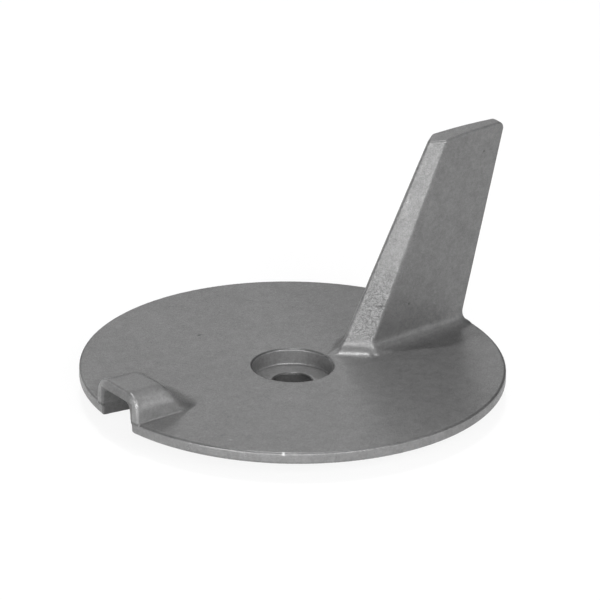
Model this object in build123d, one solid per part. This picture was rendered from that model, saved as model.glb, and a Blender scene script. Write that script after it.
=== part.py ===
from build123d import *
import os
from math import cos, radians, sin, tan

# Sacrificial anode of the trim-tab kind: one casting with a round plate, a raked
# fin on top, a counterbored bolt hole in the middle and, at the rim opposite the
# fin, a notch that is open below and roofed by a low hood.
# Frame, in millimetres: the origin is on the axis of the bolt hole, at the flat
# underside of the seat boss. +Z points up along that axis, and +X from the axis
# towards the fin, so the hood lies at -X and the casting is symmetric in Y.

# Plate
disc_diameter = 98.0
disc_thickness = 2.9
rim_top_bevel = 0.35
rim_bottom_bevel = 0.5

# Seat boss under the plate, which meets what the casting is bolted to
boss_diameter = 32.0
boss_height = 4.0
boss_draft_angle = 3.0
boss_root_radius = 2.0
boss_edge_bevel = 0.6

# Bolt hole and counterbore
bolt_hole_diameter = 9.0
counterbore_diameter = 18.6
counterbore_depth = 3.9
counterbore_mouth_bevel = 0.3
bolt_hole_mouth_bevel = 0.3

# Fin: a five-sided section, pointed in front, widest at the shoulders and blunt
# at the tail, that shrinks from the root to the tip and leans back
fin_height = 48.0
fin_nose_distance = 12.5
fin_nose_rake_angle = 27.5
fin_root_length = 33.4
fin_tip_length = 20.85
fin_root_width = 9.1
fin_tip_width = 5.5
fin_root_tail_width = 4.6
fin_tip_tail_width = 3.1
fin_root_bevel_length = 5.65
fin_tip_bevel_length = 3.45
fin_nose_radius = 0.8
fin_shoulder_radius = 0.8
fin_front_corner_radius = 3.6
fin_crown_drop = 0.95
fin_crown_end_distance = 4.8
fin_back_corner_radius = 1.6
fin_tip_edge_radius = 0.6

# Root of the fin: a fillet all round, worked on a thin pad that lies inside the plate
# and reaches past the fillet by the margin
fin_root_fillet_radius = 3.1
fin_root_margin = 0.2

# Hood over the notch, with heights above the plate's top face. Its back is a slope, at
# an angle up from the plate, that eases into the plate with a hollow toe. The toe's end
# sinks a little way into the plate, so that the two don't just touch there.
hood_mouth_setback = 0.2
hood_mouth_width = 16.4
hood_back_distance = 34.0
hood_back_width = 15.0
hood_height = 6.8
hood_side_draft_angle = 1.0
hood_back_slope_angle = 51.5
hood_toe_radius = 10.4
hood_toe_sink = 0.03
hood_corner_radius = 4.4
hood_back_edge_radius = 2.0
hood_lip_radius = 0.7
hood_lip_drop_below_bevel = 0.1

# Notch, a cavity that is open at the rim and underneath. Its walls are as thick as
# this at the plate's underside, and they grow thicker upwards with the draft.
notch_side_wall = 2.1
notch_back_side_wall = 2.6
notch_back_wall = 3.5
notch_roof_wall = 2.6
notch_side_draft_angle = 9.0
notch_back_slope_angle = 30.0
notch_corner_radius = 1.9

# Worked out from the sizes above
disc_radius = disc_diameter / 2
boss_radius = boss_diameter / 2
bolt_hole_radius = bolt_hole_diameter / 2
counterbore_radius = counterbore_diameter / 2
plate_bottom = boss_height
plate_top = boss_height + disc_thickness
counterbore_floor = plate_top - counterbore_depth
# How far the root fillet reaches along the plate in front of the leaning nose
fin_root_nose_reach = fin_root_fillet_radius * tan(radians(45 - fin_nose_rake_angle / 2))
hood_mouth_distance = disc_radius - hood_mouth_setback
hood_lip_drop = rim_top_bevel + hood_lip_drop_below_bevel
# How far the toe runs from where the slope, carried on straight, would meet the plate
hood_toe_length = hood_toe_radius * tan(radians(hood_back_slope_angle / 2))
hood_toe_end_distance = hood_back_distance - hood_toe_length
notch_mouth_width = hood_mouth_width - 2 * notch_side_wall
notch_back_width = hood_back_width - 2 * notch_back_side_wall
notch_back_distance = hood_back_distance + notch_back_wall
notch_roof_height = hood_height - notch_roof_wall
# Solids that are joined or cut reach past the faces that they meet by this much
overlap = 1.0
# Two sizes or places that differ by less than this are taken as the same
same = 0.01


def plate():
    """The round plate with its rim, seat boss, counterbore and bolt hole, turned about Z."""
    boss_foot = boss_radius + boss_height * tan(radians(boss_draft_angle))
    with BuildPart() as turned:
        with BuildSketch(Plane.XZ):
            with BuildLine():
                Polyline(
                    (bolt_hole_radius, 0),
                    (boss_radius, 0),
                    (boss_foot, plate_bottom),
                    (disc_radius, plate_bottom),
                    (disc_radius, plate_top),
                    (counterbore_radius, plate_top),
                    (counterbore_radius, counterbore_floor),
                    (bolt_hole_radius, counterbore_floor),
                    close=True,
                )
            make_face()
        revolve(axis=Axis.Z)
        fillet(circles_at(turned, boss_foot, plate_bottom), boss_root_radius)
        bevelled = (
            (boss_radius, 0, boss_edge_bevel),
            (disc_radius, plate_bottom, rim_bottom_bevel),
            (disc_radius, plate_top, rim_top_bevel),
            (counterbore_radius, plate_top, counterbore_mouth_bevel),
            (bolt_hole_radius, counterbore_floor, bolt_hole_mouth_bevel),
        )
        for radius, height, bevel in bevelled:
            chamfer(circles_at(turned, radius, height), bevel)
    return turned.part


def circles_at(body, radius, height):
    """The round edges of a body with this radius at this height."""
    found = []
    for edge in body.edges().filter_by(GeomType.CIRCLE):
        level = edge.arc_center.Z
        if abs(edge.radius - radius) < same and abs(level - height) < same:
            found.append(edge)
    return found


def blend(start, end, share):
    """The value that lies this share of the way from start to end."""
    return start + (end - start) * share


def fin_nose_x(height):
    """Where the nose line is at this height above the plate's top face."""
    return fin_nose_distance + height * tan(radians(fin_nose_rake_angle))


def fin_section(height):
    """The fin's section, nose first, at this height above the plate's top face."""
    share = height / fin_height
    nose = fin_nose_x(height)
    shoulder = nose + blend(fin_root_bevel_length, fin_tip_bevel_length, share)
    tail = nose + blend(fin_root_length, fin_tip_length, share)
    half_width = blend(fin_root_width, fin_tip_width, share) / 2
    half_tail = blend(fin_root_tail_width, fin_tip_tail_width, share) / 2
    outline = Polyline(
        (nose, 0),
        (shoulder, -half_width),
        (tail, -half_tail),
        (tail, half_tail),
        (shoulder, half_width),
        close=True,
    )
    return Plane.XY.offset(plate_top + height) * make_face(outline)


def above_fin_tip():
    """What comes off above the crowned tip and its round front corner, as a prism."""
    tip = plate_top + fin_height
    outside = fin_nose_x(0) - overlap
    behind = fin_nose_x(fin_height) + fin_root_length
    crown_start = fin_nose_x(fin_height) + fin_tip_length - fin_crown_end_distance
    corner = (fin_nose_x(fin_height - fin_crown_drop), tip - fin_crown_drop)
    nose_foot = (fin_nose_x(fin_height / 2), plate_top + fin_height / 2)
    with BuildPart() as prism:
        with BuildSketch(Plane.XZ):
            with BuildLine():
                TangentArc((crown_start, tip), corner, tangent=(-1, 0))
                Polyline(
                    corner,
                    nose_foot,
                    (outside, nose_foot[1]),
                    (outside, tip + fin_root_width),
                    (behind, tip + fin_root_width),
                    (behind, tip),
                    (crown_start, tip),
                )
            make_face()
            sharp = vertices().sort_by_distance((corner[0], 0, corner[1]))[0]
            fillet(sharp, fin_front_corner_radius)
        extrude(amount=fin_root_width, both=True)
    return prism.part


def rising_edges(body):
    """The edges that climb most of the fin's height, nose first."""
    tall = body.edges().filter_by(lambda edge: edge.bounding_box().size.Z > fin_height / 2)
    return tall.sort_by(Axis.X)


def tip_edges(body):
    """The loop of edges round the tip, down both sides of the tail."""
    band = fin_front_corner_radius + fin_crown_drop
    high = body.edges().filter_by(lambda edge: edge.center().Z > plate_top + fin_height - band)
    # Lines straight across the fin only part the tip's own faces from each other
    across = high.filter_by(lambda edge: edge.bounding_box().size.X < same)
    across = across.filter_by(lambda edge: edge.bounding_box().size.Y > fin_tip_tail_width / 2)
    return [edge for edge in high if edge not in across]


def fin():
    """The fin with its rounded edges and tip, without the fillet at its root."""
    body = loft([fin_section(-overlap), fin_section(fin_height + overlap)], ruled=True)
    body = body.fillet(fin_nose_radius, rising_edges(body)[:1])
    outermost = rising_edges(body).sort_by(lambda edge: abs(edge.center().Y))[-2:]
    body = body.fillet(fin_shoulder_radius, outermost)
    body = (body - above_fin_tip()).solid()
    tail_top = body.faces().sort_by(Axis.Z)[-1].edges().sort_by(Axis.X)[-1:]
    body = body.fillet(fin_back_corner_radius, tail_top)
    return body.fillet(fin_tip_edge_radius, tip_edges(body))


def outside_rim():
    """The space round the rim's flat top, from inside the plate to just above it."""
    wide = Circle(2 * disc_radius) - Circle(disc_radius - rim_top_bevel)
    return extrude(Plane.XY.offset(plate_top - 2 * overlap) * wide, 3 * overlap)


def fin_with_root():
    """The fin with the fillet at its root, which ends at the rim behind the tail."""
    front = fin_nose_distance - fin_root_nose_reach - fin_root_margin
    behind = fin_nose_distance + fin_root_length + 2 * fin_root_fillet_radius
    half_width = fin_root_width / 2 + fin_root_fillet_radius + fin_root_margin
    outline = Pos((front + behind) / 2, 0) * Rectangle(behind - front, 2 * half_width)
    pad = extrude(Plane.XY.offset(plate_top - overlap) * outline, overlap)
    body = (pad + fin()).solid()
    level = body.edges().filter_by_position(Axis.Z, plate_top - same, plate_top + same)
    narrow = level.filter_by(lambda edge: abs(edge.center().Y) < fin_root_width / 2)
    root = narrow.filter_by(lambda edge: front + same < edge.center().X < behind - same)
    return body.fillet(fin_root_fillet_radius, root) - outside_rim()


def tapered_block(half_width, mouth_x, back_x, low, high):
    """A block with flat sides between two heights; back_x and half_width vary with height."""
    levels = []
    for height in (low, high):
        back = back_x(height)
        mouth_half = half_width(mouth_x, height)
        back_half = half_width(back, height)
        outline = Polyline(
            (mouth_x, -mouth_half),
            (mouth_x, mouth_half),
            (back, back_half),
            (back, -back_half),
            close=True,
        )
        levels.append(Plane.XY.offset(height) * make_face(outline))
    return loft(levels, ruled=True)


def hood_half_width(x, height):
    """Half the hood's width, which shrinks towards the axis and with height."""
    share = (hood_mouth_distance + x) / (hood_mouth_distance - hood_back_distance)
    draft = (height - plate_top) * tan(radians(hood_side_draft_angle))
    return blend(hood_mouth_width, hood_back_width, share) / 2 - draft


def past_hood_toe(height):
    """Where the uncut lump ends, past the hood's toe, alike at every height."""
    return overlap - hood_toe_end_distance


def behind_hood():
    """The space behind the hood's slope and over its toe, as a prism."""
    slope = radians(hood_back_slope_angle)
    level = plate_top - hood_toe_sink
    above = level + 2 * hood_height
    slope_above = (-hood_back_distance - (above - level) / tan(slope), above)
    toe_start = (
        -hood_back_distance - hood_toe_length * cos(slope),
        level + hood_toe_length * sin(slope),
    )
    toe_end = (-hood_toe_end_distance, level)
    with BuildPart() as prism:
        with BuildSketch(Plane.XZ):
            with BuildLine():
                TangentArc(toe_end, toe_start, tangent=(-1, 0))
                Polyline(toe_start, slope_above, (0, above), (0, level), toe_end)
            make_face()
        extrude(amount=hood_mouth_width, both=True)
    return prism.part


def hood_back_edges(body):
    """The edges down both sides of the hood's back and toe, and the one across its top."""
    raised = body.faces().filter_by(lambda face: face.center().Z > plate_top - hood_toe_sink - same)
    slope_middle = -(hood_mouth_distance + hood_back_distance) / 2
    behind = raised.filter_by(lambda face: face.center().X > slope_middle)
    edges = [edge for face in behind if abs(face.center().Y) < same for edge in face.edges()]
    down = [edge for edge in edges if abs(edge.center().Y) > same]
    across = [edge for edge in edges if abs(edge.center().Y) < same]
    return down + [max(across, key=lambda edge: edge.center().Z)]


def hood():
    """The hood as a solid lump, with its round top, its eased back and its lip."""
    low = plate_top - hood_lip_drop
    deep = low - 2 * hood_back_edge_radius
    high = plate_top + hood_height
    body = tapered_block(hood_half_width, -hood_mouth_distance, past_hood_toe, deep, high)
    top_outline = body.faces().sort_by(Axis.Z)[-1].edges()
    sides = top_outline.sort_by(lambda edge: abs(edge.center().Y))[-2:]
    body = body.fillet(hood_corner_radius, sides)
    body = (body - behind_hood()).solid()
    body = body.fillet(hood_back_edge_radius, hood_back_edges(body))
    body = split(body, bisect_by=Plane.XY.offset(low), keep=Keep.TOP).solid()
    end = body.faces().sort_by(Axis.X)[0]
    lip = end.edges().sort_by(Axis.Z)[1:]
    return body.fillet(hood_lip_radius, lip)


def notch_half_width(x, height):
    """Half the notch's width, which shrinks towards the axis and with height."""
    share = (hood_mouth_distance + x) / (hood_mouth_distance - notch_back_distance)
    draft = (height - plate_bottom) * tan(radians(notch_side_draft_angle))
    return blend(notch_mouth_width, notch_back_width, share) / 2 - draft


def notch_back_x(height):
    """Where the notch's sloping back is at this height."""
    rise = height - plate_bottom
    return -notch_back_distance - rise * tan(radians(notch_back_slope_angle))


def notch():
    """The space inside the notch, which reaches past the rim and the underside."""
    mouth_x = -hood_mouth_distance - overlap
    low = plate_bottom - overlap
    high = plate_top + notch_roof_height
    body = tapered_block(notch_half_width, mouth_x, notch_back_x, low, high)
    top_outline = body.faces().sort_by(Axis.Z)[-1].edges()
    back_corners = body.edges().filter_by(lambda edge: edge.bounding_box().size.Z > notch_roof_height)
    rounded = top_outline.sort_by(Axis.X)[1:] + back_corners.sort_by(Axis.X)[-2:]
    return body.fillet(notch_corner_radius, rounded)


def casting():
    """The whole casting."""
    body = (plate() + hood() - notch()).solid()
    return (body + fin_with_root()).solid()


os.makedirs("parts", exist_ok=True)
anode = casting()
anode.label = "anode_casting"
export_step(anode, "parts/anode_casting.step")
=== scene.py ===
# %% [markdown]
# # A cast sacrificial anode
#
# The object is one lump of grey cast metal: a thin round plate, a raked fin, a
# bolt hole in a counterbore, and a low hood over a notch in the rim. It is
# bolted under a boat engine, where it slowly dissolves in place of the engine's
# own metal.
#
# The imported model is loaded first. It is in metres, with the bolt hole on the
# Z axis, the fin towards +X and the part standing on z = 0, so every number
# below is a real place on the part.

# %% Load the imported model
from math import atan2, cos, radians, sin

import bmesh
import bpy
import numpy as np
from mathutils import Matrix, Vector, noise


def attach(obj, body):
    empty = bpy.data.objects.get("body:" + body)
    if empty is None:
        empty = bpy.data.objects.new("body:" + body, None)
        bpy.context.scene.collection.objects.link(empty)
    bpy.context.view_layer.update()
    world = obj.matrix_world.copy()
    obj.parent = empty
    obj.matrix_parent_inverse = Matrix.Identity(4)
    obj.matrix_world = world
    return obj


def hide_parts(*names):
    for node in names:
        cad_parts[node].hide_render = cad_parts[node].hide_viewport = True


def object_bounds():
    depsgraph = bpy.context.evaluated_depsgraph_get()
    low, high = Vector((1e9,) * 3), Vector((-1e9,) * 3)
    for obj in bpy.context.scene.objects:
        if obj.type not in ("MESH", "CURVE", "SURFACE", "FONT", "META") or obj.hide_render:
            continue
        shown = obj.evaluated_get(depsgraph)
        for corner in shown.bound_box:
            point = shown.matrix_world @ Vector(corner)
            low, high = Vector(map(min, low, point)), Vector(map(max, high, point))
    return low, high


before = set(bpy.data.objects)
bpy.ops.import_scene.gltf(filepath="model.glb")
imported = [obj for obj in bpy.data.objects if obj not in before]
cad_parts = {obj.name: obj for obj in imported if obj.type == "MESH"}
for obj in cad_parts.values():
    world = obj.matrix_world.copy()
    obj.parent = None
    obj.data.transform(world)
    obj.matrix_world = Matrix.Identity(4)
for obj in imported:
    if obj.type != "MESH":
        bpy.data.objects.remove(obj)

MM = 0.001
cad_low, cad_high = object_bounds()
cad_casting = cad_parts["anode_casting"]
print("size of the packed part in mm:", [round(v / MM, 1) for v in cad_high - cad_low])

# %% [markdown]
# ## The camera
#
# A product photograph is taken from far away with a long lens, so that round
# things stay round and sides stay parallel. The direction, the tilt and the
# lens below put the plate's outline, the bolt hole and the fin's tip where the
# photograph has them.
#
# A camera looks along its own -Z axis. Its three axes are worked out from the
# two viewing angles, turned by the small tilt, and written into its matrix. The
# middle of the plate's top is what the camera is aimed by: its place in the
# picture, counted in pixels from the top left, says how far the camera is moved
# sideways and up.

# %% Place the camera
IMAGE_SIDE = 600
FOCAL_PIXELS = 8714.34
SENSOR_WIDTH = 36.0
VIEW_DISTANCE = 2.0
FARTHEST_SEEN = 10.0
VIEW_AZIMUTH = radians(-35.5)
VIEW_ELEVATION = radians(23.4016)
VIEW_ROLL = radians(-0.8145)
PLATE_TOP = 6.9 * MM
PLATE_CENTRE_PIXEL = (292.7126, 365.019)

toward_camera = Vector((
    sin(VIEW_AZIMUTH) * cos(VIEW_ELEVATION),
    -cos(VIEW_AZIMUTH) * cos(VIEW_ELEVATION),
    sin(VIEW_ELEVATION),
))
level_right = Vector((cos(VIEW_AZIMUTH), sin(VIEW_AZIMUTH), 0))
level_up = toward_camera.cross(level_right)
right = level_right * cos(VIEW_ROLL) - level_up * sin(VIEW_ROLL)
up = level_right * sin(VIEW_ROLL) + level_up * cos(VIEW_ROLL)

metres_per_pixel = VIEW_DISTANCE / FOCAL_PIXELS
camera_place = (
    Vector((0, 0, PLATE_TOP))
    + toward_camera * VIEW_DISTANCE
    - right * (PLATE_CENTRE_PIXEL[0] - IMAGE_SIDE / 2) * metres_per_pixel
    + up * (PLATE_CENTRE_PIXEL[1] - IMAGE_SIDE / 2) * metres_per_pixel
)

camera = bpy.data.objects.new("camera", bpy.data.cameras.new("camera"))
bpy.context.scene.collection.objects.link(camera)
camera.matrix_world = Matrix((
    (right.x, up.x, toward_camera.x, camera_place.x),
    (right.y, up.y, toward_camera.y, camera_place.y),
    (right.z, up.z, toward_camera.z, camera_place.z),
    (0, 0, 0, 1),
))
camera.data.sensor_width = SENSOR_WIDTH
camera.data.lens = FOCAL_PIXELS * SENSOR_WIDTH / IMAGE_SIDE
camera.data.clip_end = FARTHEST_SEEN
bpy.context.scene.camera = camera
print("lens in mm:", round(camera.data.lens, 1))

# %% [markdown]
# ## Nodes, written briefly
#
# Every finish below is a small tree of nodes. These helpers keep the trees
# short. One adds a node and links or sets its inputs in a single call. The
# others add a piece of arithmetic each, so that a formula can be read as one.
#
# A mask is a value that is 1 on some part of the surface and 0 elsewhere. The
# map range node makes one from a distance or a height, with a soft border.

# %% Helpers for node trees
def new_material(name):
    """Returns a material with an empty node tree, and the tree."""
    material = bpy.data.materials.new(name)
    material.use_nodes = True
    material.node_tree.nodes.clear()
    return material, material.node_tree


def add_node(tree, kind, inputs=None, **settings):
    """Adds a node, sets its options and its input values, or links them."""
    node = tree.nodes.new(kind)
    for key, value in settings.items():
        setattr(node, key, value)
    for key, value in (inputs or {}).items():
        if isinstance(value, bpy.types.NodeSocket):
            tree.links.new(value, node.inputs[key])
        else:
            node.inputs[key].default_value = value
    return node


def calculate(tree, operation, *values):
    """Adds one math node and returns its result."""
    inputs = dict(enumerate(values))
    return add_node(tree, "ShaderNodeMath", inputs, operation=operation).outputs[0]


def plus(tree, first, *others):
    """Adds up two or more values."""
    for value in others:
        first = calculate(tree, "ADD", first, value)
    return first


def minus(tree, first, second):
    """Takes the second value away from the first."""
    return calculate(tree, "SUBTRACT", first, second)


def times(tree, first, *others):
    """Multiplies two or more values."""
    for value in others:
        first = calculate(tree, "MULTIPLY", first, value)
    return first


def spread(tree, value, low, high, new_low=0.0, new_high=1.0):
    """Stretches a range of values over another range, and stops at its ends."""
    inputs = {"Value": value, "From Min": low, "From Max": high, "To Min": new_low, "To Max": new_high}
    return add_node(tree, "ShaderNodeMapRange", inputs).outputs["Result"]


# %% [markdown]
# ## The floor
#
# The part lies on a white sweep of board. The floor is white by its colour and
# not by extra light: most of what the camera and the reflections see is a plain
# white glow, and the rest is an ordinary matt surface that still takes the
# part's shadow. Under the part's seat hardly any light gets in, so the glow
# fades out there, and the bolt hole looks down on dark board.

# %% Make the floor
FLOOR_HALF_SIDE = 3.0
FLOOR_WHITE = 0.8
GLOW_SHARE_TO_CAMERA = 0.88
GLOW_SHARE_IN_REFLECTIONS = 0.75
SEAT_RADIUS = 16.0 * MM
GLOW_BORDER = (0.8 * SEAT_RADIUS, 1.4 * SEAT_RADIUS)


def make_white_board():
    """Builds the floor's material, part white glow and part matt board."""
    material, tree = new_material("white_board")
    path = add_node(tree, "ShaderNodeLightPath")
    seen = times(tree, path.outputs["Is Camera Ray"], GLOW_SHARE_TO_CAMERA)
    mirrored = times(tree, path.outputs["Is Glossy Ray"], GLOW_SHARE_IN_REFLECTIONS)
    spot = add_node(tree, "ShaderNodeTexCoord").outputs["Object"]
    from_axis = add_node(tree, "ShaderNodeVectorMath", {0: spot}, operation="LENGTH").outputs["Value"]
    share = times(tree, calculate(tree, "MAXIMUM", seen, mirrored), spread(tree, from_axis, *GLOW_BORDER))
    matt = add_node(tree, "ShaderNodeBsdfDiffuse", {"Color": (FLOOR_WHITE, FLOOR_WHITE, FLOOR_WHITE, 1)})
    glow = add_node(tree, "ShaderNodeEmission", {"Color": (1, 1, 1, 1), "Strength": 1.0})
    both = add_node(tree, "ShaderNodeMixShader", {0: share, 1: matt.outputs[0], 2: glow.outputs[0]})
    add_node(tree, "ShaderNodeOutputMaterial", {"Surface": both.outputs[0]})
    return material


def make_floor():
    """Builds the floor's square sheet."""
    mesh = bpy.data.meshes.new("floor")
    side = FLOOR_HALF_SIDE
    corners = [(-side, -side, 0), (side, -side, 0), (side, side, 0), (-side, side, 0)]
    mesh.from_pydata(corners, [], [(0, 1, 2, 3)])
    mesh.materials.append(make_white_board())
    floor = bpy.data.objects.new("floor", mesh)
    bpy.context.scene.collection.objects.link(floor)
    return floor


floor = make_floor()
print("floor made, metres across:", floor.dimensions.x)

# %% [markdown]
# ## The lights
#
# The photograph shows two kinds of light. The fin throws one short shadow with
# a fairly crisp edge, so there is a small lamp almost overhead. Everything else
# comes from large soft boxes: low ones in front that brighten the rim, one to
# the left that brightens the fin's bevelled nose, and weak ones behind that lift
# the top of the plate.
#
# Each soft box is a round area lamp that faces the part. Its place is given as
# degrees round from the camera, to the right where positive, and as degrees
# above the floor. Its strength is in watts.

# %% Set up the lights
KEY_DIRECTION = Vector((0.1, 0.18, 1.0))
KEY_STRENGTH = 1.11
KEY_ANGLE = radians(2.0)
BOX_DISTANCE = 1.2
BOX_DIAMETER = 0.6
BOX_AIM = Vector((0, 0, 10 * MM))
SOFT_BOXES = [
    (-110, 10, 3.5),
    (-36, 10, 9.2),
    (0, 10, 3.7),
    (72, 10, 1.6),
    (-150, 30, 2.4),
    (0, 30, 6.6),
    (36, 30, 8.5),
    (180, 30, 1.4),
    (72, 52, 1.1),
    (0, 75, 1.4),
    (180, 75, 2.9),
]


def add_lamp(name, kind, direction, place):
    """Adds a lamp that shines against the given direction."""
    lamp = bpy.data.objects.new(name, bpy.data.lights.new(name, kind))
    bpy.context.scene.collection.objects.link(lamp)
    lamp.rotation_mode = "QUATERNION"
    lamp.rotation_quaternion = direction.to_track_quat("Z", "Y")
    lamp.location = place
    return lamp.data


key = add_lamp("key_lamp", "SUN", KEY_DIRECTION, KEY_DIRECTION)
key.energy = KEY_STRENGTH
key.angle = KEY_ANGLE

camera_turn = atan2(toward_camera.y, toward_camera.x)
for turn, height, watts in SOFT_BOXES:
    around, above = camera_turn + radians(turn), radians(height)
    direction = Vector((cos(around) * cos(above), sin(around) * cos(above), sin(above)))
    box = add_lamp(f"soft_box_{turn}_{height}", "AREA", direction, BOX_AIM + direction * BOX_DISTANCE)
    box.shape = "DISK"
    box.size = BOX_DIAMETER
    box.energy = watts

world = bpy.data.worlds.new("dark_studio")
world.use_nodes = True
world.node_tree.nodes["Background"].inputs["Color"].default_value = (0, 0, 0, 1)
bpy.context.scene.world = world
bpy.context.scene.view_settings.view_transform = "Standard"
print("lamps:", len(bpy.data.lights))

# %% [markdown]
# ## The casting's skin
#
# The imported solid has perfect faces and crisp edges. A real casting is poured
# into a mould, shaken out and blasted with grit, and each step rubs the edges
# soft. So a finer copy of the solid stands in for it here. The copy is rebuilt
# as an even net of small faces, pulled back onto the solid so that no size
# changes, and smoothed a little, which rounds only the edges: on a flat face
# each point already lies between its neighbours.

# %% Rebuild the surface as a fine even net
WELD_DISTANCE = 0.001 * MM
NET_SIZE = 0.28 * MM
SMOOTHING_STEPS = 1
SMOOTHING_SHARE = 0.5


def settle(piece):
    """Makes what the modifiers give into the piece's own mesh."""
    settled = piece.evaluated_get(bpy.context.evaluated_depsgraph_get())
    piece.data = bpy.data.meshes.new_from_object(settled)
    piece.modifiers.clear()


def fine_copy(source, name):
    """Returns a new object with an even net of faces that lies on the source."""
    mesh = source.data.copy()
    work = bmesh.new()
    work.from_mesh(mesh)
    bmesh.ops.remove_doubles(work, verts=work.verts, dist=WELD_DISTANCE)
    work.to_mesh(mesh)
    work.free()
    piece = bpy.data.objects.new(name, mesh)
    bpy.context.scene.collection.objects.link(piece)
    net = piece.modifiers.new("net", "REMESH")
    net.mode = "VOXEL"
    net.voxel_size = NET_SIZE
    net.use_smooth_shade = True
    cling = piece.modifiers.new("cling", "SHRINKWRAP")
    cling.target = source
    cling.wrap_method = "NEAREST_SURFACEPOINT"
    soften = piece.modifiers.new("soften", "SMOOTH")
    soften.factor = SMOOTHING_SHARE
    soften.iterations = SMOOTHING_STEPS
    settle(piece)
    return piece


skin = fine_copy(cad_casting, "cast_skin")
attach(skin, "root")
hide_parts("anode_casting")
print("faces in the net:", len(skin.data.polygons))

# %% [markdown]
# ## Moving many points at once
#
# The net has hundreds of thousands of points. A loop in Python over all of them
# would take minutes, so their places are read into one table, worked on as a
# whole and written back.
#
# The casting is the same on both sides of its middle plane. A form that lies on
# both sides is described once, for the -Y side, and the table is folded over
# onto that side to find it.

# %% Read, fold and write the points
def read_points(piece):
    """The places and normals of the mesh's points, as two tables."""
    count = len(piece.data.vertices)
    places, normals = np.empty(3 * count, np.float32), np.empty(3 * count, np.float32)
    piece.data.vertices.foreach_get("co", places)
    piece.data.vertices.foreach_get("normal", normals)
    return places.reshape(-1, 3), normals.reshape(-1, 3)


def write_points(piece, places):
    """Moves the mesh's points to the places in the table."""
    piece.data.vertices.foreach_set("co", places.astype(np.float32).ravel())
    piece.data.update()


def fold(table):
    """The same places or directions, with the +Y half folded over onto the -Y half."""
    return table * (1, 0, 1) - np.abs(table) * (0, 1, 0)


def ease(values, low, high):
    """Goes smoothly from 0 at the low value to 1 at the high one."""
    share = np.clip((values - low) / (high - low), 0, 1)
    return share * share * (3 - 2 * share)


print("points in the net:", len(read_points(skin)[0]))

# %% [markdown]
# ## The scales on the nose
#
# The two bevelled faces of the fin's nose are the roughest part of this casting:
# near the root they look scaly, as if small flakes of the mould's coating had
# printed into the metal.
#
# The scales are a layered noise that moves each point along its normal, in and
# out by a few hundredths of a millimetre, and that fades out above and below.
# The noise is stretched upwards, because the scales are taller than wide.

# %% Press the scales into the nose
SCALE_DEPTH = 0.045 * MM
SCALE_SIZE = 1.1 * MM
SCALE_STRETCH = 2.2
# How fast the noise's layers weaken, how much finer each one is, and their number
SCALE_LAYERS = (1.0, 2.0, 3)
SCALE_LEVEL = 0.4
NOSE_BEVEL_DIRECTION = Vector((-0.596, -0.740, 0.310)).normalized()
# Cosines of the angle to the bevel's own direction
FACES_THE_SAME_WAY = (0.93, 0.985)
SCALES_FROM = 9.6 * MM
SCALES_FULL_UP_TO = 19.0 * MM
SCALES_FADE_UNTIL = 31.0 * MM
SCALES_ABOVE = 0.35
HARDLY_ANY = 0.01


def scaliness(places, normals):
    """How scaly the surface is at each point, from 0 to 1."""
    on_bevel = ease(fold(normals) @ np.array(NOSE_BEVEL_DIRECTION), *FACES_THE_SAME_WAY)
    height = places[:, 2]
    above_foot = ease(height, SCALES_FROM, SCALES_FROM + SCALE_SIZE)
    fade = 1 - (1 - SCALES_ABOVE) * ease(height, SCALES_FULL_UP_TO, SCALES_FADE_UNTIL)
    return on_bevel * above_foot * fade


def scale_heights(places, scaly):
    """How far the scales move each point along its normal."""
    push = np.zeros(len(places))
    for index in np.nonzero(scaly > HARDLY_ANY)[0]:
        x, y, z = places[index] / SCALE_SIZE
        wave = noise.fractal(Vector((x, y, z / SCALE_STRETCH)), *SCALE_LAYERS)
        push[index] = SCALE_DEPTH * scaly[index] * (wave - SCALE_LEVEL)
    return push


places, normals = read_points(skin)
push = scale_heights(places, scaliness(places, normals))
print("scales in mm, lowest and highest:", round(push.min() / MM, 3), round(push.max() / MM, 3))

# %% [markdown]
# ## Knocks and pits
#
# There is a short nick across one of the scaly faces, a bright chip on the rim,
# and a few pits. Each small mark is a soft dent between two points, and a round
# one has the same point twice.

# %% Press the knocks and pits in
# Both ends, radius and depth of each mark in mm
CHIP = ((-30.2, -38.6, 6.8), (-29.6, -39.1, 6.8), 0.45, 0.22)
NICK_AND_PITS = [
    ((-8.3, 25.9, 6.9), (-7.9, 26.0, 6.9), 0.42, 0.16),
    ((21.5, -2.9, 17.3), (22.8, -3.9, 17.4), 0.25, 0.12),
    ((30.1, -3.6, 16.3), (30.1, -3.6, 16.3), 0.40, 0.14),
    ((51.9, -2.0, 48.9), (51.9, -2.0, 48.9), 0.36, 0.12),
]
# Stands in for the squared length of a mark that has none, so that nothing is divided by zero
NO_LENGTH = 1e-9


def distance_to_line(places, start, end):
    """How far each point is from the line between two points given in mm."""
    start, along = np.array(start) * MM, (np.array(end) - np.array(start)) * MM
    share = np.clip((places - start) @ along / max(along @ along, NO_LENGTH), 0, 1)
    return np.linalg.norm(places - start - share[:, None] * along, axis=1)


for start, end, radius, depth in [CHIP, *NICK_AND_PITS]:
    share = np.clip(distance_to_line(places, start, end) / (radius * MM), 0, 1)
    push -= depth * MM * (1 - share * share) ** 2
write_points(skin, places + normals * push[:, None])
print("deepest mark in mm:", round(-push.min() / MM, 2))

# %% [markdown]
# ## A fuller fillet under the nose
#
# Where the fin's nose runs out into the plate, the mould was rubbed rounder than
# along the sides, and a bright line of light lies along the fillet's foot. The
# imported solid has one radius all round, so the net is lifted here by three
# tenths of a millimetre at most.
#
# A fillet between two planes is part of a round bar that touches both. Each
# point that lies deeper in the corner than the bar's surface is moved out to it.
# The lift fades away towards the shoulders.

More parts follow.
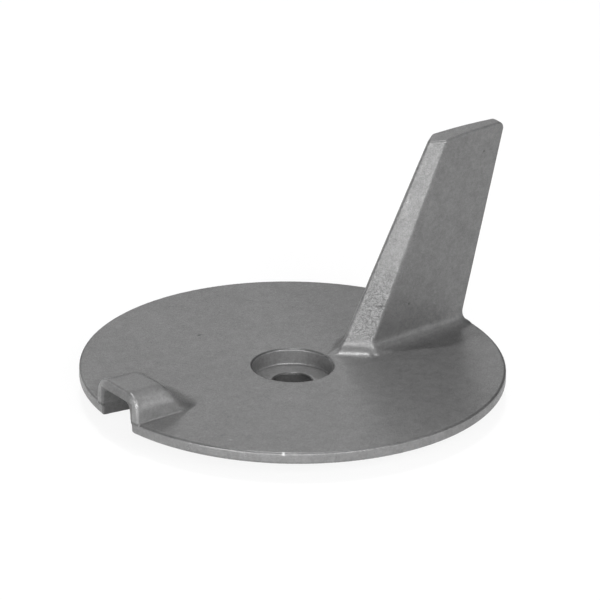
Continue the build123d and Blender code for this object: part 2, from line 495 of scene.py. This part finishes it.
# %% Lift the fillet under the nose
NOSE_FOOT = (12.5 * MM, 0.0, PLATE_TOP)
NOSE_BEVEL_LENGTH = 7.25 * MM
LIFT_BORDER = (0.95 * NOSE_BEVEL_LENGTH, 1.25 * NOSE_BEVEL_LENGTH)
FRONT_FILLET_RADIUS = 3.7 * MM
LARGEST_LIFT = 0.3 * MM
SKIN_DEPTH = 1.0 * MM


def fill_nose_corner(piece):
    """Moves the corner between the plate and the nose's bevels out to a larger fillet."""
    places = read_points(piece)[0]
    bevel = np.array(NOSE_BEVEL_DIRECTION)
    lean = bevel[2]
    openness = 1 - lean * lean
    along_foot = np.array((-bevel[1], bevel[0], 0)) / np.hypot(bevel[0], bevel[1])
    from_foot = fold(places) - np.array(NOSE_FOOT)
    # Distances of each point from the two planes that meet in the bar's axis
    over_plate = from_foot[:, 2] - FRONT_FILLET_RADIUS
    over_bevel = from_foot @ bevel - FRONT_FILLET_RADIUS
    # Shares of the two directions that lead from the bar's axis into the corner
    down = -(over_plate - lean * over_bevel) / openness
    inward = -(over_bevel - lean * over_plate) / openness
    from_axis = np.sqrt((over_plate**2 + over_bevel**2 - 2 * lean * over_plate * over_bevel) / openness)
    in_corner = (down > 0) & (inward > 0)
    on_skin = (from_foot @ bevel > -SKIN_DEPTH) & (from_foot[:, 2] > -SKIN_DEPTH)
    gap = np.clip(from_axis - FRONT_FILLET_RADIUS, 0, LARGEST_LIFT)
    fade = 1 - ease(np.abs(from_foot @ along_foot), *LIFT_BORDER)
    lift = np.where(in_corner & on_skin, gap, 0) * fade
    outward = down[:, None] * (0, 0, 1) + inward[:, None] * bevel
    outward /= np.maximum(from_axis, MM)[:, None]
    outward[places[:, 1] > 0, 1] *= -1
    write_points(piece, places + outward * lift[:, None])
    return lift.max()


print("largest lift in mm:", round(fill_nose_corner(skin) / MM, 3))

# %% [markdown]
# ## A softer hood
#
# The hood is the softest form on this casting: its top runs over into the back
# and the shoulders with no clear edge. A group of points picks the hood out,
# and the smooth modifier rounds only what is in the group. The hood's foot and
# its lip stay as they are.

# %% Round the hood
HOOD_MOUTH = cad_low.x
HOOD_BACK = -34.0 * MM
HOOD_LIP_WIDTH = 0.9 * MM
HOOD_FOOT_HEIGHT = 1.0 * MM
HOOD_BACK_MARGIN = 1.0 * MM
HOOD_SMOOTHING_STEPS = 80


def soften_hood(piece):
    """Smooths the hood's outside, apart from its foot and its lip."""
    x, _, z = read_points(piece)[0].T
    behind_lip = (x > HOOD_MOUTH + HOOD_LIP_WIDTH) & (x < HOOD_BACK + HOOD_BACK_MARGIN)
    chosen = np.nonzero(behind_lip & (z > PLATE_TOP + HOOD_FOOT_HEIGHT))[0]
    group = piece.vertex_groups.new(name="hood")
    group.add(chosen.tolist(), 1.0, "REPLACE")
    soften = piece.modifiers.new("soften_hood", "SMOOTH")
    soften.vertex_group = group.name
    soften.factor = SMOOTHING_SHARE
    soften.iterations = HOOD_SMOOTHING_STEPS
    settle(piece)
    return len(chosen)


print("points of the hood:", soften_hood(skin))

# %% [markdown]
# ## Fewer faces where it is flat
#
# The even net spends most of its faces on flat metal that doesn't need them.
# The decimate modifier collapses edges, the flattest first, so the rounded
# edges and the marks keep their detail.

# %% Thin the net out
TRIANGLE_LIMIT = 190000


def count_triangles(piece):
    """The number of triangles in the piece's mesh."""
    return sum(len(face.vertices) - 2 for face in piece.data.polygons)


thin = skin.modifiers.new("thin", "DECIMATE")
thin.ratio = min(1.0, TRIANGLE_LIMIT / count_triangles(skin))
settle(skin)
skin.data.shade_smooth()
print("triangles in the skin:", count_triangles(skin))

# %% [markdown]
# ## Where the marks are, for the material
#
# The material needs to know where the metal is scaly, where a knock has laid it
# bare and where a dent holds dirt. All three are stored on the points of the
# mesh as numbers from 0 to 1, so that the node tree can read them by name.

# %% Store the masks on the mesh
# Both ends and radius in mm of each spot where fresh metal shows
BARE_SPOTS = [
    ((-29.9, -38.9, 6.8), (-29.9, -38.9, 6.8), 0.50),
    ((-35.8, -26.4, 6.9), (-35.8, -26.4, 6.9), 0.28),
]
BARE_BORDER = (0.6, 1.2)
DIRT_BORDER = (0.4, 1.0)
HALF = 0.5


def close_to(places, spots, border):
    """1 near the spots and 0 away from them. The border is in shares of each spot's radius."""
    nearness = np.zeros(len(places))
    for start, end, radius, *_ in spots:
        away = distance_to_line(places, start, end) / (radius * MM)
        nearness = np.maximum(nearness, 1 - ease(away, *border))
    return nearness


places, normals = read_points(skin)
masks = {
    "scaly": scaliness(places, normals),
    "bare": close_to(places, BARE_SPOTS, BARE_BORDER),
    "dull": close_to(places, NICK_AND_PITS, DIRT_BORDER),
}
for name, values in masks.items():
    mask = skin.data.attributes.new(name, "FLOAT", "POINT")
    mask.data.foreach_set("value", values.astype(np.float32))
    print(f"points that are {name}:", int((values > HALF).sum()))

# %% [markdown]
# ## The grain that grit leaves
#
# Blasting leaves countless small craters, a quarter to half a millimetre wide.
# Seen from a step away they blend into a satin grey with a fine sparkle: a
# crater's floor is rougher and darker, the ridge between two craters is rubbed
# smoother and lighter. Broader, weaker swells come from the mould.
#
# One group of nodes makes all of it from the place on the part in millimetres,
# and gives a height for bumps, a tone for the colour and a mask of the few
# deeper pits. About one cell in four of a wide cell pattern holds a pit.

# %% Helpers for groups and noise
NOISE_ROUGHNESS = 0.6


def new_group(name, inputs, outputs):
    """Returns a node group with these named sockets, and its two end nodes."""
    group = bpy.data.node_groups.new(name, "ShaderNodeTree")
    for label, kind in inputs.items():
        group.interface.new_socket(label, in_out="INPUT", socket_type=kind)
    for label in outputs:
        group.interface.new_socket(label, in_out="OUTPUT", socket_type="NodeSocketFloat")
    return group, add_node(group, "NodeGroupInput"), add_node(group, "NodeGroupOutput")


def put_out(group, end, values):
    """Links each value to the group's output of that name."""
    for label, value in values.items():
        group.links.new(value, end.inputs[label])


def place_group(tree, group, inputs):
    """Places a node group in a tree, links its inputs and returns its outputs."""
    node = add_node(tree, "ShaderNodeGroup", node_tree=group)
    for label, value in inputs.items():
        tree.links.new(value, node.inputs[label])
    return node.outputs


def add_noise(tree, where, scale, detail):
    """Adds a noise pattern with this many waves per millimetre."""
    inputs = {"Vector": where, "Scale": scale, "Detail": detail, "Roughness": NOISE_ROUGHNESS}
    return add_node(tree, "ShaderNodeTexNoise", inputs).outputs["Fac"]


def weigh(tree, *pairs):
    """Adds up values, each multiplied by its weight."""
    return plus(tree, *(times(tree, value, weight) for value, weight in pairs))


# %% Make the group for the grain
GRAIN_PER_MM = 3.6
CRATERS_PER_MM = 2.2
FLECKS_PER_MM = 1.1
SWELLS_PER_MM = 0.32
CLOUDS_PER_MM = 0.07
PITS_PER_MM = 0.30
FINE_DETAIL = 3.0
BROAD_DETAIL = 2.0
CRATER_BORDER = (0.1, 0.75)
PIT_CHOICE = (0.72, 0.76)
PIT_BORDER = (0.09, 0.03)
# How much each pattern counts: in the grain itself, in the height and in the tone
FINE_IN_GRAIN, CRATER_IN_GRAIN = 0.7, 0.3
GRAIN_HEIGHT, FLECK_HEIGHT, SWELL_HEIGHT, PIT_HEIGHT = 1.0, 1.6, 2.4, -1.5
GRAIN_TONE, FLECK_TONE, SWELL_TONE, CLOUD_TONE = 0.4, 0.5, 0.4, 0.2


def make_grain_group():
    """Builds the group that gives the grain's height, its tone and the pits."""
    group, start, end = new_group(
        "blasted_grain", {"Place in mm": "NodeSocketVector"}, ["Height", "Tone", "Pits"],
    )
    where = start.outputs["Place in mm"]
    fine = add_noise(group, where, GRAIN_PER_MM, FINE_DETAIL)
    fleck = add_noise(group, where, FLECKS_PER_MM, BROAD_DETAIL)
    swell = add_noise(group, where, SWELLS_PER_MM, BROAD_DETAIL)
    cloud = add_noise(group, where, CLOUDS_PER_MM, BROAD_DETAIL)
    crater = add_node(group, "ShaderNodeTexVoronoi", {"Vector": where, "Scale": CRATERS_PER_MM})
    bowl = spread(group, crater.outputs["Distance"], *CRATER_BORDER)
    cell = add_node(group, "ShaderNodeTexVoronoi", {"Vector": where, "Scale": PITS_PER_MM})
    drawn = add_node(group, "ShaderNodeSeparateColor", {"Color": cell.outputs["Color"]}).outputs["Red"]
    near = spread(group, cell.outputs["Distance"], *PIT_BORDER)
    pits = times(group, spread(group, drawn, *PIT_CHOICE), near)
    grain = weigh(group, (fine, FINE_IN_GRAIN), (bowl, CRATER_IN_GRAIN))
    heights = ((grain, GRAIN_HEIGHT), (fleck, FLECK_HEIGHT), (swell, SWELL_HEIGHT), (pits, PIT_HEIGHT))
    tones = ((grain, GRAIN_TONE), (fleck, FLECK_TONE), (swell, SWELL_TONE), (cloud, CLOUD_TONE))
    put_out(group, end, {"Height": weigh(group, *heights), "Tone": weigh(group, *tones), "Pits": pits})
    return group


grain_group = make_grain_group()
print("nodes in the grain group:", len(grain_group.nodes))

# %% [markdown]
# ## Painted shade in hollows, and worn edges
#
# Deep in the bolt hole, under the hood and in tight corners little light gets in,
# so the metal is painted darker there, as painted shade. Edges are the opposite:
# they get knocked and rubbed, and look lighter and smoother.
#
# The painted shade comes from a node that feels how closed in each point is. The
# edges come from the mesh itself, from how sharply it bends at a point. A little of
# the grain's tone is added to the bend, so that the rubbing looks uneven.

# %% Make the group for the painted hollow shade and the worn edges
HOLLOW_REACH = 7.0 * MM
HOLLOW_RAYS = 8
HOLLOW_BORDER = (0.34, 0.06)
EDGE_BORDER = (0.52, 0.60)
UNEVENNESS = 0.01
USUAL_TONES = (0.2, 0.8)


def make_shade_and_wear_group():
    """Builds the group that gives the masks of the painted hollow shade and of the rubbed edges."""
    group, start, end = new_group(
        "hollow_shade_and_worn_edges", {"Grain": "NodeSocketFloat"}, ["Hollow shade", "Edges"],
    )
    # Painted shade: the more closed in a point is, the darker it is painted
    closed_in = add_node(
        group, "ShaderNodeAmbientOcclusion", {"Distance": HOLLOW_REACH},
        only_local=True, samples=HOLLOW_RAYS,
    )
    bend = add_node(group, "ShaderNodeNewGeometry").outputs["Pointiness"]
    uneven = spread(group, start.outputs["Grain"], *USUAL_TONES, -UNEVENNESS, UNEVENNESS)
    put_out(group, end, {
        "Hollow shade": spread(group, closed_in.outputs["AO"], *HOLLOW_BORDER),
        "Edges": spread(group, plus(group, bend, uneven), *EDGE_BORDER),
    })
    return group


shade_and_wear_group = make_shade_and_wear_group()
print("nodes in the wear group:", len(shade_and_wear_group.nodes))

# %% [markdown]
# ## Places that differ
#
# Not every place is equally grey. The rim's wall and the hood's shoulders are
# painted lighter, as a painted highlight. The counterbore is painted lighter too,
# which lifts the painted hollow shade there, and a painted dark line along its mouth
# and along the rim's top edge takes away their highlights. The bolt hole and the
# notch are painted darker, as painted shade in these recesses.
#
# A place is found by its distance from the bolt hole's axis, by its height or by
# how far it is along the part. Each border below is given as an edge of the part
# and two distances from it in millimetres: the mask is 0 at the first and 1 at
# the second.

# %% Say where those places are
def beside(edge, empty_at, full_at):
    """The two ends of a mask's soft border beside an edge of the part."""
    return edge + empty_at * MM, edge + full_at * MM


PLATE_RADIUS = cad_high.y
BORE_RADIUS = 9.3 * MM
BORE_FLOOR = 3.0 * MM
HOLE_RADIUS = 4.5 * MM
HOOD_HALF_WIDTH = 8.2 * MM
NOTCH_HALF_WIDTH = 6.1 * MM
NOTCH_ROOF = 11.1 * MM
NOTCH_BACK = -37.5 * MM

OUT_AT_RIM = beside(PLATE_RADIUS, -0.6, -0.4)
UNDER_RIM_BEVEL = beside(PLATE_TOP, -0.28, -0.45)
ABOVE_PLATE = beside(PLATE_TOP, 0.08, 0.4)
INSIDE_BORE = beside(BORE_RADIUS, 0.25, 0.1)
INSIDE_BORE_MOUTH = beside(BORE_RADIUS, 0.5, 0.4)
UNDER_BORE_MOUTH = beside(PLATE_TOP, -0.2, -0.35)
OVER_BORE_FLOOR = beside(BORE_FLOOR, -0.3, -0.1)
INSIDE_HOLE = beside(HOLE_RADIUS, 0.5, 0.3)
UNDER_HOLE_MOUTH = beside(BORE_FLOOR, 0.1, 0.0)
ON_HOOD_SHOULDERS = beside(HOOD_HALF_WIDTH, -3.6, -2.0)
PAST_HOOD_BACK = beside(HOOD_BACK, 0.0, -4.0)
BETWEEN_NOTCH_SIDES = beside(NOTCH_HALF_WIDTH, 0.25, 0.05)
UNDER_NOTCH_ROOF = beside(NOTCH_ROOF, 0.3, 0.05)
PAST_NOTCH_BACK = beside(NOTCH_BACK, 1.0, 0.0)
print("the rim's wall starts this many mm from the axis:", round(OUT_AT_RIM[1] / MM, 2))

# %% Make the group for the places
# How much of the painted shade along the rim's top edge counts
RIM_EDGE_SHADE_SHARE = 0.4


def make_places_group():
    """Builds the group that gives a mask for each place that differs."""
    group, start, end = new_group(
        "places_on_the_casting", {"Place": "NodeSocketVector"},
        ["Rim highlight", "Bore", "Edge shade", "Hole shade", "Hood highlight", "Notch shade"],
    )
    place = start.outputs["Place"]
    x, y, z = add_node(group, "ShaderNodeSeparateXYZ", {0: place}).outputs
    flat = add_node(group, "ShaderNodeVectorMath", {0: place, 1: (1, 1, 0)}, operation="MULTIPLY").outputs[0]
    from_axis = add_node(group, "ShaderNodeVectorMath", {0: flat}, operation="LENGTH").outputs["Value"]
    from_middle = calculate(group, "ABSOLUTE", y)

    outermost = spread(group, from_axis, *OUT_AT_RIM)
    # Painted highlight: the rim's wall is painted lighter
    rim = times(group, outermost, spread(group, z, *UNDER_RIM_BEVEL))
    above_plate = spread(group, z, *ABOVE_PLATE)
    # Painted shade along the rim's top edge, to take away its highlight
    rim_edge_shade = times(group, minus(group, outermost, rim), minus(group, 1.0, above_plate))

    # Painted shade deep in the bolt hole
    hole = times(group, spread(group, from_axis, *INSIDE_HOLE), spread(group, z, *UNDER_HOLE_MOUTH))
    under_mouth = spread(group, z, *UNDER_BORE_MOUTH)
    # The counterbore is painted lighter, which lifts the painted hollow shade there
    within = times(group, spread(group, from_axis, *INSIDE_BORE), under_mouth)
    bore = minus(group, times(group, within, spread(group, z, *OVER_BORE_FLOOR)), hole)
    # Painted shade along the counterbore's mouth, to take away its highlight
    bore_mouth_shade = times(group, spread(group, from_axis, *INSIDE_BORE_MOUTH), minus(group, 1.0, under_mouth))

    # Painted highlight on the hood's shoulders
    shoulder_highlight = times(group, spread(group, from_middle, *ON_HOOD_SHOULDERS), above_plate)
    # Painted shade inside the notch under the hood
    between = spread(group, from_middle, *BETWEEN_NOTCH_SIDES)
    notch = times(group, between, spread(group, z, *UNDER_NOTCH_ROOF), spread(group, x, *PAST_NOTCH_BACK))
    put_out(group, end, {
        "Rim highlight": rim,
        "Bore": calculate(group, "MAXIMUM", bore, 0.0),
        "Edge shade": calculate(group, "MAXIMUM", bore_mouth_shade, times(group, rim_edge_shade, RIM_EDGE_SHADE_SHARE)),
        "Hole shade": hole,
        "Hood highlight": times(group, shoulder_highlight, spread(group, x, *PAST_HOOD_BACK)),
        "Notch shade": notch,
    })
    return group


places_group = make_places_group()
print("nodes in the places group:", len(places_group.nodes))

# %% [markdown]
# ## The wrinkles
#
# On the scaly bevels thin dark wrinkles run mostly level, like the lines of a
# map. They are drawn the way a map draws them: wherever a smooth noise crosses
# its middle value there is a line. The noise itself gives the low flakes
# between the wrinkles.

# %% Make the group for the wrinkles
FLAKES_PER_MM = 0.85
FLAKE_FLATNESS = 1.7
WRINKLE_WIDTH = 0.045
WRINKLE_DEPTH = 0.4


def make_wrinkle_group():
    """Builds the group that gives the wrinkles and the height of the flakes."""
    group, start, end = new_group(
        "scaly_wrinkles",
        {"Place in mm": "NodeSocketVector", "Scaly": "NodeSocketFloat"},
        ["Wrinkles", "Height"],
    )
    scaly = start.outputs["Scaly"]
    stretch = {0: start.outputs["Place in mm"], 1: (1, 1, FLAKE_FLATNESS)}
    level = add_node(group, "ShaderNodeVectorMath", stretch, operation="MULTIPLY").outputs[0]
    flakes = add_noise(group, level, FLAKES_PER_MM, BROAD_DETAIL)
    from_middle = calculate(group, "ABSOLUTE", minus(group, flakes, HALF))
    wrinkles = times(group, minus(group, 1.0, spread(group, from_middle, 0.0, WRINKLE_WIDTH)), scaly)
    height = minus(group, times(group, flakes, scaly), times(group, wrinkles, WRINKLE_DEPTH))
    put_out(group, end, {"Wrinkles": wrinkles, "Height": height})
    return group


wrinkle_group = make_wrinkle_group()
print("nodes in the wrinkle group:", len(wrinkle_group.nodes))

# %% [markdown]
# ## The metal
#
# The colour is a middle grey. It is multiplied by a share for each mask: below 1
# the place is darker, above 1 it is lighter. Where a knock has laid the metal
# bare, brightness is added instead.
#
# A thin dull skin of oxide covers the metal, so two fifths of the surface answer
# light like a matt coat and the rest like metal. The shine is neither wide nor
# narrow: rough crater floors give a wide one and rubbed ridges a narrower one, so
# the roughness changes with a grain finer than the eye can part.

# %% Mix the grey
METAL_GREY = 0.135
TONE_SWING = 0.38
TONE_RANGE = (0.35, 1.15)
BARE_BRIGHTNESS = 0.35
# Below 1 is painted shade and above 1 painted light: a painted highlight on the rim's wall and the hood's
# shoulders, a lighter counterbore, and painted shade in the bolt hole, in the notch and along the
# counterbore's mouth and the rim's top edge
SHARES_BY_PLACE = {
    "Rim highlight": 1.3,
    "Hood highlight": 1.5,
    "Bore": 1.3,
    "Hole shade": 0.45,
    "Notch shade": 0.65,
    "Edge shade": 0.55,
}
# Painted shade in the hollows: the share of grey left where a point is most closed in
HOLLOW_SHADE_SHARE = 0.35
EDGE_SHARE = 1.1
PIT_SHARE = 0.7
DIRT_SHARE = 0.45
WRINKLE_SHARE = 0.62


def mix_grey(tree, tone, shares, bare):
    """Adds the nodes for the metal's colour and returns it."""
    swing = spread(tree, tone, *TONE_RANGE, 1 - TONE_SWING, 1 + TONE_SWING)
    grey = times(tree, swing, METAL_GREY)
    for mask, share in shares:
        grey = times(tree, grey, spread(tree, mask, 0.0, 1.0, 1.0, share))
    grey = plus(tree, grey, times(tree, bare, BARE_BRIGHTNESS))
    return add_node(tree, "ShaderNodeCombineColor", {"Red": grey, "Green": grey, "Blue": grey}).outputs[0]


print("darkest and lightest share of a place:", min(SHARES_BY_PLACE.values()), max(SHARES_BY_PLACE.values()))

# %% Make the cast metal
METAL_SHARE = 0.6
ROUGH_GRAIN_PER_MM = 7.0
ROUGH_GRAIN_DETAIL = 1.0
ROUGH_GRAIN_BORDER = (0.47, 0.53)
SMOOTHEST = 0.33
ROUGHEST = 0.62
EDGE_SMOOTHER = 0.08
BUMP_HEIGHT = 0.020 * MM
SCALY_BUMP_HEIGHT = 0.05 * MM


def make_cast_metal():
    """Builds the material of the whole casting."""
    metal, tree = new_material("blasted_cast_metal")
    spot = add_node(tree, "ShaderNodeTexCoord").outputs["Object"]
    to_mm = {0: spot, "Scale": 1 / MM}
    where = add_node(tree, "ShaderNodeVectorMath", to_mm, operation="SCALE").outputs[0]
    scaly, bare, dull = (
        add_node(tree, "ShaderNodeAttribute", attribute_name=name).outputs["Fac"]
        for name in ("scaly", "bare", "dull")
    )
    grain = place_group(tree, grain_group, {"Place in mm": where})
    shade_and_wear = place_group(tree, shade_and_wear_group, {"Grain": grain["Tone"]})
    areas = place_group(tree, places_group, {"Place": spot})
    flakes = place_group(tree, wrinkle_group, {"Place in mm": where, "Scaly": scaly})

    shares = [(shade_and_wear["Hollow shade"], HOLLOW_SHADE_SHARE), (shade_and_wear["Edges"], EDGE_SHARE), (grain["Pits"], PIT_SHARE)]
    shares += [(dull, DIRT_SHARE), (flakes["Wrinkles"], WRINKLE_SHARE)]
    shares += [(areas[label], share) for label, share in SHARES_BY_PLACE.items()]

    rough_grain = add_noise(tree, where, ROUGH_GRAIN_PER_MM, ROUGH_GRAIN_DETAIL)
    roughness = spread(tree, rough_grain, *ROUGH_GRAIN_BORDER, SMOOTHEST, ROUGHEST)
    roughness = minus(tree, roughness, times(tree, shade_and_wear["Edges"], EDGE_SMOOTHER))

    scale_bump = {"Strength": 1.0, "Distance": SCALY_BUMP_HEIGHT, "Height": flakes["Height"]}
    scales = add_node(tree, "ShaderNodeBump", scale_bump).outputs[0]
    grain_bump = {"Strength": 1.0, "Distance": BUMP_HEIGHT, "Height": grain["Height"], "Normal": scales}
    bumps = add_node(tree, "ShaderNodeBump", grain_bump).outputs[0]

    finish = {
        "Base Color": mix_grey(tree, grain["Tone"], shares, bare),
        "Metallic": METAL_SHARE,
        "Roughness": roughness,
        "Normal": bumps,
    }
    shader = add_node(tree, "ShaderNodeBsdfPrincipled", finish)
    add_node(tree, "ShaderNodeOutputMaterial", {"Surface": shader.outputs[0]})
    return metal


cast_metal = make_cast_metal()
skin.data.materials.clear()
skin.data.materials.append(cast_metal)
print("nodes in the metal, besides its groups:", len(cast_metal.node_tree.nodes))

# %% [markdown]
# ## The sizes
#
# Nothing above may change how large the part is, so the packed part's box is
# written down once more.

# %% Write the sizes and finish
print("box of the packed part in mm:", [round(v / MM, 2) for v in cad_high - cad_low])
